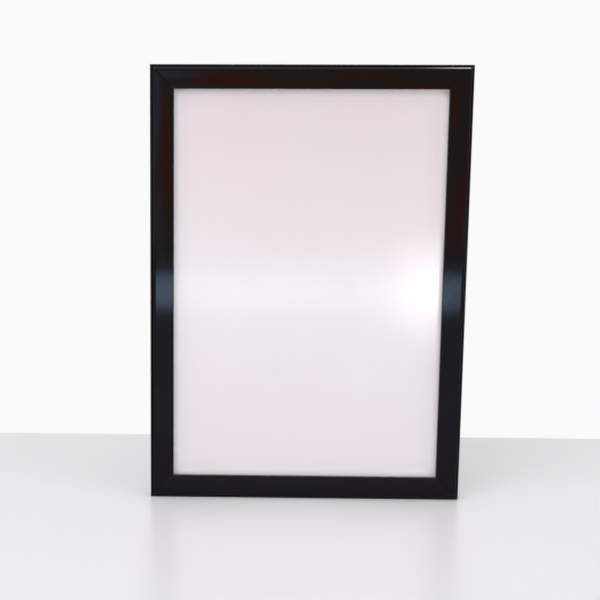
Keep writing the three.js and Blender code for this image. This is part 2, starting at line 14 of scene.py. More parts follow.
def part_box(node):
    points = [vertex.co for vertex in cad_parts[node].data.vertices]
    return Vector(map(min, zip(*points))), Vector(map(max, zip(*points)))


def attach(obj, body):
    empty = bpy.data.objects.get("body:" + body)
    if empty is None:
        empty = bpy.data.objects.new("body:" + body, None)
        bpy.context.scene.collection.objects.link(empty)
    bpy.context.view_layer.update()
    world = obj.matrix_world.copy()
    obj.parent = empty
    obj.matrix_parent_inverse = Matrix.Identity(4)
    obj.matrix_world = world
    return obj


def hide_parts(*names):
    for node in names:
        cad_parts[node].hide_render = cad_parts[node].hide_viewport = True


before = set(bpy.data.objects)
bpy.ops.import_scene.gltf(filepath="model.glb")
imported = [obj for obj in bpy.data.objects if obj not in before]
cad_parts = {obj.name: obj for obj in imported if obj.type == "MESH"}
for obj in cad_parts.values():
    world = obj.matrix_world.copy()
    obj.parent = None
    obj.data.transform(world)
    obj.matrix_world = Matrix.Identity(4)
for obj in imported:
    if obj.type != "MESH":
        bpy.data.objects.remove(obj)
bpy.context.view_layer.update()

Colour = tuple[float, float, float]
Place = tuple[float, float, float]
Point = tuple[float, float]
Number = Union[float, "Wire"]
Settings = Optional[dict[str, Any]]
Values = Optional[dict[Union[str, int], Any]]

LOG = logging.getLogger("poster_frame")
MM = 0.001
WHITE: Colour = (1.0, 1.0, 1.0)


class Along(Enum):
    """The way a piece runs, which its drawn or brushed lines follow."""

    X = (0.02, 1.0, 1.0)
    Z = (1.0, 1.0, 0.02)


class Side(Enum):
    """The four sides of the frame, with the turn that carries a side's own u, v and s there."""

    LEFT = "left"
    TOP = "top"
    RIGHT = "right"
    BOTTOM = "bottom"

    @property
    def turn(self) -> float:
        """Returns the side's turn about +Y, in radians."""
        return math.pi / 2 * list(Side).index(self)

    @property
    def upright(self) -> bool:
        """Returns True for the two long sides."""
        return self in (Side.LEFT, Side.RIGHT)

    @property
    def along(self) -> Along:
        """Returns the way the side's rails run."""
        return Along.Z if self.upright else Along.X


def operator(operation: str) -> tuple[Callable[["Wire", Number], "Wire"], Callable[["Wire", Number], "Wire"]]:
    """Makes an arithmetic operator for wires.

    Args:
        operation: the Math node's operation.

    Returns:
        The operator's method and its reflected form.
    """

    def forward(self: "Wire", other: Number) -> "Wire":
        """Returns the operation on self and other."""
        return self.bench.sum(operation, self, other)

    def reflected(self: "Wire", other: Number) -> "Wire":
        """Returns the operation on other and self."""
        return self.bench.sum(operation, other, self)

    return forward, reflected


class Wire:
    """One output socket, so that sums written on it add Math nodes to its tree."""

    __add__, __radd__ = operator("ADD")
    __sub__, __rsub__ = operator("SUBTRACT")
    __mul__, __rmul__ = operator("MULTIPLY")
    __truediv__, __rtruediv__ = operator("DIVIDE")
    __pow__, __rpow__ = operator("POWER")

    def __init__(self, bench: "Bench", socket: NodeSocket) -> None:
        """Keeps the socket and the bench that its tree is built on."""
        self.bench = bench
        self.socket = socket

    def over(self, limit: Number) -> "Wire":
        """Returns 1 where self is over the limit, and 0 elsewhere."""
        return self.bench.sum("GREATER_THAN", self, limit)

    def step(self, low: float, high: float) -> "Wire":
        """Returns a smooth rise from 0 at low to 1 at high."""
        values = {"Value": self, "From Min": low, "From Max": high}
        return self.bench.wire("ShaderNodeMapRange", {"interpolation_type": "SMOOTHSTEP"}, values)


class Bench:
    """Builds the nodes of one tree, for shading or for geometry."""

    def __init__(self, tree: NodeTree) -> None:
        """Takes a tree and empties it."""
        self.tree = tree
        self.tree.nodes.clear()

    def node(self, kind: str, settings: Settings = None, values: Values = None) -> Node:
        """Adds a node.

        Args:
            kind: the node's type.
            settings: its own options, which are set first.
            values: a value or a link for each input, by its name or number.

        Returns:
            The new node.
        """
        made = self.tree.nodes.new(kind)
        for name, value in (settings or {}).items():
            setattr(made, name, value)
        for key, value in (values or {}).items():
            self.feed(made.inputs[key], value)
        return made

    def feed(self, socket: NodeSocket, value: Any) -> None:
        """Sets or links an input.

        Args:
            socket: the input.
            value: its value, or the wire or output that is linked to it.
        """
        if isinstance(value, Wire):
            value = value.socket
        if isinstance(value, NodeSocket):
            self.tree.links.new(value, socket)
        elif socket.type == "RGBA" and len(value) == 3:
            socket.default_value = (*value, 1.0)
        else:
            socket.default_value = value

    def wire(self, kind: str, settings: Settings = None, values: Values = None,
             output: Union[str, int] = 0) -> Wire:
        """Adds a node and returns one of its outputs as a wire."""
        return Wire(self, self.node(kind, settings, values).outputs[output])

    def sum(self, operation: str, *terms: Number) -> Wire:
        """Adds a Math node and returns its output."""
        return self.wire("ShaderNodeMath", {"operation": operation}, dict(enumerate(terms)))

    def split(self, vector: Wire) -> list[Wire]:
        """Returns a vector's three parts."""
        return [Wire(self, part) for part in self.node("ShaderNodeSeparateXYZ", None, {0: vector}).outputs]

    def blend(self, factor: Number, first: Union[Colour, Wire], second: Union[Colour, Wire],
              kind: str = "MIX") -> Wire:
        """Returns a mix of two colours, or another blend of them."""
        settings = {"data_type": "RGBA", "blend_type": kind}
        return self.wire("ShaderNodeMix", settings, {0: factor, 6: first, 7: second}, 2)


class Paint(Bench):
    """The nodes of one material."""

    def __init__(self, name: str) -> None:
        """Makes the material, with its output and the place on the piece.

        Args:
            name: the material's name.
        """
        self.material = bpy.data.materials.new(name)
        self.material.use_nodes = True
        super().__init__(self.material.node_tree)
        self.output = self.node("ShaderNodeOutputMaterial")
        self.place = self.wire("ShaderNodeTexCoord", output="Object")

    def noise(self, scale: float, detail: float = 2.0, roughness: float = 0.5,
              along: Optional[Along] = None) -> Wire:
        """Reads a noise at the place on the piece.

        Args:
            scale: how many of its features stand in a metre.
            detail: its octaves.
            roughness: the share that each finer octave keeps.
            along: the way that it is drawn out, or None.

        Returns:
            The noise, of about 0 to 1.
        """
        place = self.place
        if along is not None:
            place = self.wire("ShaderNodeMapping", None, {"Vector": place, "Scale": along.value})
        values = {"Vector": place, "Scale": scale, "Detail": detail, "Roughness": roughness}
        return self.wire("ShaderNodeTexNoise", None, values)

    def cells(self, scale: float, output: str = "Distance") -> Wire:
        """Returns a cell pattern: the distance to the nearest seed, or the cell's own colour."""
        return self.wire("ShaderNodeTexVoronoi", None, {"Vector": self.place, "Scale": scale}, output)

    def bump(self, height: Wire, distance: float, strength: float, under: Optional[Wire] = None) -> Wire:
        """Raises the surface by a height.

        Args:
            height: the height, from 0 to 1.
            distance: how high 1 stands, in metres.
            strength: the share of it that shows.
            under: the normal that it lies on, or None.

        Returns:
            The raised surface's normal.
        """
        values: Values = {"Height": height, "Distance": distance, "Strength": strength}
        if under is not None:
            values["Normal"] = under
        return self.wire("ShaderNodeBump", None, values)

    def ended(self, shader: Node) -> Material:
        """Returns the material, ended in a shader."""
        self.feed(self.output.inputs["Surface"], shader.outputs[0])
        return self.material

    def surface(self, **values: Any) -> Material:
        """Returns the material, ended in a Principled shader with these inputs, _ standing for a space."""
        named = {name.replace("_", " "): value for name, value in values.items()}
        return self.ended(self.node("ShaderNodeBsdfPrincipled", None, named))


@dataclass(frozen=True)
class Finish:
    """A finish that makes one material, with the name of the record's slot that it stands for."""

    name: str
    slot: str

    def paint(self, paint: Paint) -> Material:
        """Lays the finish on a new material.

        Args:
            paint: the material's nodes.

        Returns:
            The finished material.
        """
        raise NotImplementedError

    def material(self) -> Material:
        """Returns the finish's material, made the first time it is asked for."""
        name = f"{self.name}_finish"
        return bpy.data.materials.get(name) or self.paint(Paint(name))


@dataclass(frozen=True)
class GlossLacquer(Finish):
    """Deep black gloss lacquer on a drawn rail: faint peel, fine hairlines and a little dust."""

    along: Along = Along.X
    dark: Colour = (0.0008, 0.0005, 0.0005)
    light: Colour = (0.0026, 0.0015, 0.0016)
    dust: Colour = (0.10, 0.09, 0.09)
    sheen: Colour = (0.86, 0.82, 1.0)

    def paint(self, paint: Paint) -> Material:
        """Lays the finish on a new material.

        Args:
            paint: the material's nodes.

        Returns:
            The finished material.
        """
        hairline = paint.noise(5200.0, 2.0, 0.6, self.along)
        peel = paint.noise(420.0, 1.0)
        dust = paint.noise(2600.0, 0.0).step(0.76, 0.84)
        handled = paint.noise(55.0, 4.0, 0.6).step(0.45, 0.75)
        colour = paint.blend(paint.noise(9.0, 3.0), self.dark, self.light)
        return paint.surface(
            Base_Color=paint.blend(dust * 0.25, colour, self.dust),
            Roughness=0.065 + hairline * 0.03 + handled * 0.04 + dust * 0.25,
            IOR=1.25,
            Specular_Tint=self.sheen,
            Normal=paint.bump(peel, 0.000006, 0.5, paint.bump(hairline, 0.0000012, 0.5)),
        )


@dataclass(frozen=True)
class SatinExtrusion(Finish):
    """Satin black anodised extrusion, with die lines along its length."""

    along: Along = Along.X
    dark: Colour = (0.0095, 0.0088, 0.0090)
    light: Colour = (0.0170, 0.0158, 0.0160)
    rubbed: Colour = (0.03, 0.029, 0.029)

    def paint(self, paint: Paint) -> Material:
        """Lays the finish on a new material.

        Args:
            paint: the material's nodes.

        Returns:
            The finished material.
        """
        line = paint.noise(3400.0, 3.0, 0.65, self.along)
        wide = paint.noise(420.0, 1.0, 0.5, self.along)
        etch = paint.noise(6000.0, 1.0)
        rub = paint.noise(34.0, 5.0, 0.65).step(0.55, 0.8)
        colour = paint.blend(line * 0.6 + wide * 0.4, self.dark, self.light)
        return paint.surface(
            Base_Color=paint.blend(rub * 0.35, colour, self.rubbed),
            Roughness=0.26 + line * 0.14 - rub * 0.08,
            Metallic=0.05 + wide * 0.1,
            Normal=paint.bump(etch, 0.000004, 0.4, paint.bump(line, 0.00001, 0.6)),
        )


@dataclass(frozen=True)
class ClearSheet(Finish):
    """Thin clear plastic that shows what lies behind it under a glossy face."""

    clear: Colour = (0.985, 0.985, 0.985)
    rough: float = 0.15
    least_gloss: float = 0.0125
    slant_gloss: float = 0.97

    def paint(self, paint: Paint) -> Material:
        """Lays the finish on a new material.

        Args:
            paint: the material's nodes.

        Returns:
            The finished material.
        """
        slant = paint.wire("ShaderNodeLayerWeight", None, {"Blend": 0.5}, "Facing")
        gloss = self.least_gloss + self.slant_gloss * slant ** 5.0
        smear = paint.noise(14.0, 4.0, 0.6).step(0.5, 0.8)
        scratch = paint.noise(900.0, 2.0, 0.5, Along.Z).step(0.72, 0.8)
        through = paint.wire("ShaderNodeBsdfTransparent", None, {"Color": self.clear})
        face = paint.wire("ShaderNodeBsdfPrincipled", None, {
            "Base Color": WHITE,
            "Metallic": 1.0,
            "Roughness": self.rough + smear * 0.05 + scratch * 0.08,
            "Normal": paint.bump(paint.noise(22.0, 1.0), 0.00003, 0.5),
        })
        return paint.ended(paint.node("ShaderNodeMixShader", None, {0: gloss, 1: through, 2: face}))


@dataclass(frozen=True)
class OpalAcrylic(Finish):
    """Milky acrylic panel with a faint warm blush, with painted shade towards its top and painted light at
    its rim, where the rails' shade falls.
    """

    milk: Colour = (0.800, 0.719, 0.731)
    blush: Colour = (0.868, 0.790, 0.801)
    # painted light: a paler colour near the rails' inner edges, which fills the shade that the rails cast on
    # the panel
    rim_painted_light: Colour = (0.960, 0.887, 0.897)
    painted_light_reach: float = 0.012
    # painted shade: the colour that the panel is multiplied by towards its top, and the heights over which it
    # comes in
    top_painted_shade: Colour = (0.905, 0.885, 0.905)
    painted_shade_heights: Point = (0.24, 0.44)

    def _painted_light_rise(self, place: Wire, edge: float) -> Wire:
        """Returns the share of painted light, rising from 0 to 1 as a place comes up to an edge."""
        return place.step(edge - self.painted_light_reach, edge)

    def paint(self, paint: Paint) -> Material:
        """Lays the finish on a new material.

        Args:
            paint: the material's nodes.

        Returns:
            The finished material.
        """
        x, _, z = paint.split(paint.place)
        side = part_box("snap_rail_right")[0].x
        foot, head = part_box("snap_rail_bottom")[1].z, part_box("snap_rail_top")[0].z
        # painted light: a mask that rises towards the rails' inner edges, where their shade falls on the
        # panel
        sides = self._painted_light_rise(x, side) + self._painted_light_rise(x * -1, side)
        edge = sides + (self._painted_light_rise(z, head) + self._painted_light_rise(z * -1, -foot))
        grain = paint.noise(1500.0, 2.0)
        body = paint.blend(paint.noise(5.0, 3.0, 0.55), self.milk, self.blush)
        # painted shade: the panel's colour is darkened towards its top
        body = paint.blend(z.step(*self.painted_shade_heights), body, self.top_painted_shade, "MULTIPLY")
        return paint.surface(
            # the rim's painted light is blended in here
            Base_Color=paint.blend(edge, body, self.rim_painted_light),
            Roughness=0.30 + grain * 0.12,
            IOR=1.36,
            Normal=paint.bump(grain, 0.000006, 0.5),
        )


@dataclass(frozen=True)
class FoamBoard(Finish):
    """Grey rigid sheet with a fine pebbled skin and faint rolling marks."""

    dark: Colour = (0.235, 0.243, 0.252)
    light: Colour = (0.305, 0.313, 0.322)
    scuffed: Colour = (0.4, 0.41, 0.42)

    def paint(self, paint: Paint) -> Material:
        """Lays the finish on a new material.

        Args:
            paint: the material's nodes.

        Returns:
            The finished material.
        """
        pebble = paint.cells(1250.0)
        rolled = paint.noise(160.0, 2.0, 0.5, Along.Z)
        scuff = paint.noise(700.0, 3.0, 0.6, Along.X).step(0.66, 0.74)
        colour = paint.blend(paint.noise(11.0, 5.0, 0.6) * 0.7 + rolled * 0.3, self.dark, self.light)
        return paint.surface(
            Base_Color=paint.blend(scuff * 0.3, colour, self.scuffed),
            Roughness=0.52 + pebble * 0.15,
            Normal=paint.bump(pebble, 0.00006, 0.5),
        )


@dataclass(frozen=True)
class PlatedSteel(Finish):
    """Bright plated or spring steel, brushed one way, with faint rainbow stains of the plating."""

    along: Along = Along.X
    metal: Colour = (0.40, 0.405, 0.41)
    stain: Colour = (0.44, 0.40, 0.33)
    groove: Colour = (0.20, 0.205, 0.21)
    rough: float = 0.26

    def paint(self, paint: Paint) -> Material:
        """Lays the finish on a new material.

        Args:
            paint: the material's nodes.

        Returns:
            The finished material.
        """
        brush = paint.noise(4200.0, 3.0, 0.6, self.along)
        colour = paint.blend(paint.noise(60.0, 3.0, 0.6).step(0.35, 0.75), self.metal, self.stain)
        shade = paint.blend(0.03, colour, paint.cells(300.0, "Color"))
        return paint.surface(
            Base_Color=paint.blend(brush * 0.35, shade, self.groove),
            Metallic=1.0,
            Roughness=self.rough + brush * 0.16,
            Normal=paint.bump(brush, 0.000008, 0.5),
        )


@dataclass(frozen=True)
class Mottled(Finish):
    """A surface in two tones, with a fine grain in its gloss and its relief."""

    tones: tuple[Colour, Colour]
    cloud: Point
    grain: tuple[float, float, float]
    rough: Point
    relief: Point
    metallic: float = 0.0

    def paint(self, paint: Paint) -> Material:
        """Lays the finish on a new material.

        Args:
            paint: the material's nodes.

        Returns:
            The finished material.
        """
        grain = paint.noise(*self.grain)
        least, spread = self.rough
        return paint.surface(
            Base_Color=paint.blend(paint.noise(*self.cloud), *self.tones),
            Metallic=self.metallic,
            Roughness=least + grain * spread,
            Normal=paint.bump(grain, *self.relief),
        )


@dataclass(frozen=True)
class PlatedBrass(Finish):
    """Bright turned brass, a little tarnished."""

    bright: Colour = (0.80, 0.60, 0.27)
    dull: Colour = (0.50, 0.34, 0.14)

    def paint(self, paint: Paint) -> Material:
        """Lays the finish on a new material.

        Args:
            paint: the material's nodes.

        Returns:
            The finished material.
        """
        tarnish = paint.noise(260.0, 4.0, 0.6).step(0.4, 0.8)
        return paint.surface(
            Base_Color=paint.blend(tarnish * 0.5, self.bright, self.dull),
            Metallic=1.0,
            Roughness=0.20 + tarnish * 0.18,
            Normal=paint.bump(paint.noise(5000.0, 1.0, 0.5, Along.Z), 0.000003, 0.5),
        )


@dataclass(frozen=True)
class WhiteFilm(Finish):
    """Matt white film or foam, with fine cells."""

    cell: float = 2200.0
    tone: Colour = (0.86, 0.86, 0.845)
    dim: float = 0.93

    def paint(self, paint: Paint) -> Material:
        """Lays the finish on a new material.

        Args:
            paint: the material's nodes.

        Returns:
            The finished material.
        """
        cell = paint.cells(self.cell)
        dull = tuple(self.dim * part for part in self.tone)
        return paint.surface(
            Base_Color=paint.blend(paint.noise(18.0, 3.0), self.tone, dull),
            Roughness=0.68 + cell * 0.2,
            Normal=paint.bump(cell, 0.00008, 0.5),
        )


@dataclass(frozen=True)
class DottedAcrylic(Finish):
    """Clear acrylic with the printed dots that bring the light out of a light guide."""

    dots: float = 650.0
    clear: Colour = (0.74, 0.83, 0.80)
    dot: Colour = (0.92, 0.92, 0.90)

    def paint(self, paint: Paint) -> Material:
        """Lays the finish on a new material.

        Args:
            paint: the material's nodes.

        Returns:
            The finished material.
        """
        dot = 1 - paint.cells(self.dots).step(0.28, 0.34)
        return paint.surface(
            Base_Color=paint.blend(dot, self.clear, self.dot),
            Roughness=0.08 + dot * 0.4 + paint.noise(30.0, 2.0) * 0.04,
            Alpha=0.45 + dot * 0.4,
        )


@dataclass(frozen=True)
class CircuitBoard(Finish):
    """White lacquered circuit strip with paler tracks under the lacquer."""

    lacquer: Colour = (0.78, 0.78, 0.75)
    track: Colour = (0.86, 0.86, 0.83)

    def paint(self, paint: Paint) -> Material:
        """Lays the finish on a new material.

        Args:
            paint: the material's nodes.

        Returns:
            The finished material.
        """
        track = paint.noise(260.0, 0.0, 0.5, Along.Z).step(0.48, 0.52)
        return paint.surface(
            Base_Color=paint.blend(track, self.lacquer, self.track),
            Roughness=0.35 + paint.noise(3200.0, 1.0) * 0.15,
            Normal=paint.bump(track, 0.00003, 0.5),
        )


@dataclass(frozen=True)
class Phosphor(Finish):
    """The yellow lens of a white chip."""

    deep: Colour = (0.86, 0.66, 0.12)
    pale: Colour = (0.93, 0.78, 0.24)

    def paint(self, paint: Paint) -> Material:
        """Lays the finish on a new material.

        Args:
            paint: the material's nodes.

        Returns:
            The finished material.
        """
        grain = paint.noise(5200.0, 2.0)
        return paint.surface(
            Base_Color=paint.blend(grain, self.deep, self.pale),
            Roughness=0.28 + grain * 0.2,
            Coat_Weight=0.3 + grain * 0.1,
        )


def sleeve(name: str, tone: Colour) -> Finish:
    """Makes the finish of the smooth soft plastic round a lead.

    Args:
        name: the finish's name, and its slot's.
        tone: its colour.

    Returns:
        The finish.
    """
    tones = (tone, tuple(0.7 * part for part in tone))
    return Mottled(name, name, tones, (300.0, 3.0), (300.0, 3.0, 0.5), (0.36, 0.15), (0.00004, 0.3))


SCREW_STEEL = PlatedSteel("screw_steel", "screw_steel", rough=0.22)
SPRING_STEEL = PlatedSteel("spring_steel", "spring_steel", Along.Z,
                           metal=(0.47, 0.475, 0.48), stain=(0.44, 0.43, 0.46), rough=0.2)
CAST_ZINC = Mottled("cast_zinc", "plain_steel", ((0.30, 0.305, 0.31), (0.42, 0.425, 0.43)), (70.0, 3.0),
                    (1800.0, 4.0, 0.6), (0.42, 0.15), (0.00003, 0.5), metallic=0.85)
BLACK_PLASTIC = Mottled("moulded_black", "moulded_black", ((0.010, 0.010, 0.011), (0.018, 0.018, 0.019)),
                        (120.0, 2.0), (3800.0, 3.0, 0.7), (0.44, 0.2), (0.00002, 0.5))
RED_SLEEVE = sleeve("red_sleeve", (0.40, 0.02, 0.02))
BLACK_SLEEVE = sleeve("black_sleeve", (0.012, 0.012, 0.012))


@dataclass(frozen=True)
class Rail:
    """The sizes, in millimetres, that the solids of a rail and what it carries are drawn with."""

    width: float = 24.5
    frame_width: float = 327.0
    frame_height: float = 450.0
    depth: float = 22.0
    mitre_gap: float = 0.15
    shoulder: float = 4.6
    hinge_u: float = 6.2
    hinge_v: float = 4.6
    plate: float = 1.4
    drop: float = 0.6
    edge: float = 0.7
    lip: float = 1.4
    bead: float = 1.1
    leg: float = 1.0
    catch: float = 1.0
    catch_reach: float = 0.6
    catch_offset: float = 5.1
    fit: float = 0.3

    def length(self, side: Side) -> float:
        """Returns the length of a side along its outer edge."""
        return self.frame_height if side.upright else self.frame_width

    def place(self, side: Side) -> Matrix:
        """Works out where a side lies.

        Args:
            side: the side.

        Returns:
            The matrix from the side's own u, v and s, in millimetres, to the part's metres.
        """
        x, z = {
            Side.LEFT: (-self.frame_width / 2, self.frame_height / 2),
            Side.TOP: (0.0, self.frame_height),
            Side.RIGHT: (self.frame_width / 2, self.frame_height / 2),
            Side.BOTTOM: (0.0, 0.0),
        }[side]
        move = Matrix.Translation((x, -self.depth / 2, z))
        return Matrix.Scale(MM, 4) @ move @ Matrix.Rotation(side.turn, 4, "Y")


RAIL = Rail()


def family(prefix: str) -> list[str]:
    """Returns the CAD nodes whose names start with a prefix, in order."""
    return sorted(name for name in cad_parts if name.startswith(prefix))


def middle_of(node: str) -> Vector:
    """Returns the middle of a CAD node's box."""
    low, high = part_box(node)
    return (low + high) / 2


def linked(name: str, data: Union[Mesh, Light, Camera]) -> Object:
    """Puts a mesh, lamp or camera in the scene as an object at the origin.

    Args:
        name: the object's name.
        data: what it shows.

    Returns:
        The object.
    """
    made = bpy.data.objects.new(name, data)
    bpy.context.scene.collection.objects.link(made)
    return made


def settled(piece: Object, sharp: Optional[float] = 32.0) -> Object:
    """Turns a piece's modifiers into plain mesh and sets its smooth and sharp edges.

    Args:
        piece: an object at the origin, with its modifiers.
        sharp: the angle, in degrees, from which an edge stays sharp, or None to leave the shading as it is.

    Returns:
        The same object, with its new mesh and no modifiers.
    """
    graph = bpy.context.evaluated_depsgraph_get()
    ready = piece.evaluated_get(graph)
    mesh = bpy.data.meshes.new_from_object(ready, preserve_all_data_layers=True, depsgraph=graph)
    old = piece.data
    piece.modifiers.clear()
    piece.data = mesh
    mesh.name = piece.name
    bpy.data.meshes.remove(old)
    if sharp is not None:
        mesh.shade_smooth()
        mesh.set_sharp_from_angle(angle=math.radians(sharp))
    return piece


def bevelled(piece: Object, width: float, angle: float = 40.0) -> None:
    """Adds a small rounding to a piece's sharp edges.

    Args:
        piece: the object.
        width: the rounding's width, in the mesh's own units.
        angle: the angle, in degrees, from which an edge is rounded.
    """
    bevel = piece.modifiers.new("rounding", "BEVEL")
    bevel.width = width
    bevel.segments = 2
    bevel.limit_method = "ANGLE"
    bevel.angle_limit = math.radians(angle)
    bevel.miter_outer = "MITER_ARC"
    bevel.use_clamp_overlap = True


def dress(node: str, finish: Finish) -> Object:
    """Gives a CAD node one finish in all its slots.

    Args:
        node: the node's name.
        finish: the finish.

    Returns:
        The node's object.
    """
    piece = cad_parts[node]
    if not piece.material_slots:
        piece.data.materials.append(finish.material())
    for slot in piece.material_slots:
        slot.material = finish.material()
    return piece


class NodeShape(Bench):
    """A geometry tree with named inputs, for a shape that follows a rule or repeats."""

    def __init__(self, name: str, inputs: dict[str, Union[float, int, None]]) -> None:
        """Makes the tree.

        Args:
            name: the tree's name.
            inputs: each input's name and first value: a length, a count, or None for a material.
        """
        super().__init__(bpy.data.node_groups.new(name, "GeometryNodeTree"))
        face = self.tree.interface
        face.new_socket(name="Geometry", in_out="INPUT", socket_type="NodeSocketGeometry")
        face.new_socket(name="Geometry", in_out="OUTPUT", socket_type="NodeSocketGeometry")
        kinds = {float: "NodeSocketFloat", int: "NodeSocketInt", type(None): "NodeSocketMaterial"}
        self.keys: dict[str, str] = {}
        for label, value in inputs.items():
            socket = face.new_socket(name=label, in_out="INPUT", socket_type=kinds[type(value)])
            if value is not None:
                socket.default_value = value
            self.keys[label] = socket.identifier
        self.start = self.node("NodeGroupInput")
        self.end = self.node("NodeGroupOutput")

    def given(self, *labels: str) -> list[Wire]:
        """Returns some of the tree's inputs."""
        return [Wire(self, self.start.outputs[label]) for label in labels]

    def mesh(self) -> Wire:
        """Returns the mesh that the tree starts from."""
        return self.given("Geometry")[0]

    def vector(self, x: Number, y: Number, z: Number) -> Wire:
        """Returns a vector made of three numbers."""
        return self.wire("ShaderNodeCombineXYZ", None, {0: x, 1: y, 2: z})

    def moved(self, shape: Wire, x: Number = 0.0, y: Number = 0.0, z: Number = 0.0) -> Wire:
        """Returns a shape moved by three numbers."""
        values = {"Geometry": shape, "Translation": self.vector(x, y, z)}
        return self.wire("GeometryNodeTransform", None, values)

    def box(self, x: Number, y: Number, z: Number) -> Wire:
        """Returns a box of three sizes, about its middle."""
        return self.wire("GeometryNodeMeshCube", None, {"Size": self.vector(x, y, z)})

    def together(self, *shapes: Wire) -> Wire:
        """Joins shapes.

        Args:
            shapes: the shapes, in order.

        Returns:
            All of them as one.
        """
        join = self.node("GeometryNodeJoinGeometry")
        for shape in reversed(shapes):
            self.tree.links.new(shape.socket, join.inputs[0])
        return Wire(self, join.outputs[0])

    def carved(self, shape: Wire, *tools: Wire) -> Wire:
        """Cuts tools out of a shape.

        Args:
            shape: the shape.
            tools: what is cut out of it.

        Returns:
            What is left.
        """
        cut = self.node("GeometryNodeMeshBoolean", {"operation": "DIFFERENCE", "solver": "EXACT"})
        self.feed(cut.inputs["Mesh 1"], shape)
        for tool in tools:
            self.tree.links.new(tool.socket, cut.inputs["Mesh 2"])
        return Wire(self, cut.outputs["Mesh"])

    def copies(self, points: Wire, shape: Wire, **values: Any) -> Wire:
        """Returns copies of a shape on points, with any other inputs of the node that sets them there."""
        values = {"Points": points, "Instance": shape, **values}
        return self.wire("GeometryNodeInstanceOnPoints", None, values)

    def row(self, shape: Wire, count: Wire, pitch: Wire) -> Wire:
        """Returns a row of copies of a shape along s, from the origin on."""
        values = {"Count": count, "Offset": self.vector(0.0, 0.0, pitch)}
        return self.copies(self.wire("GeometryNodeMeshLine", None, values), shape)

    def real(self, shape: Wire) -> Wire:
        """Returns a shape with its copies made real."""
        return self.wire("GeometryNodeRealizeInstances", None, {"Geometry": shape})

    def painted(self, shape: Wire, material: Union[Material, Wire]) -> Wire:
        """Returns a shape with a material."""
        return self.wire("GeometryNodeSetMaterial", None, {"Geometry": shape, "Material": material})

    def finish(self, shape: Wire, material: Union[Material, Wire, None] = None) -> "NodeShape":
        """Ends the tree in Realize Instances and Set Material.

        Args:
            shape: the finished shape.
            material: its material, or None where its parts have theirs.

        Returns:
            The tree.
        """
        real = self.real(shape)
        self.feed(self.end.inputs[0], real if material is None else self.painted(real, material))
        return self

    def apply(self, piece: Object, **values: Any) -> None:
        """Adds the tree to a piece as a modifier.

        Args:
            piece: the object.
            values: the tree's inputs, named with underscores for spaces.
        """
        modifier = piece.modifiers.new(self.tree.name, "NODES")
        modifier.node_group = self.tree
        for label, value in values.items():
            modifier[self.keys[label.replace("_", " ")]] = value


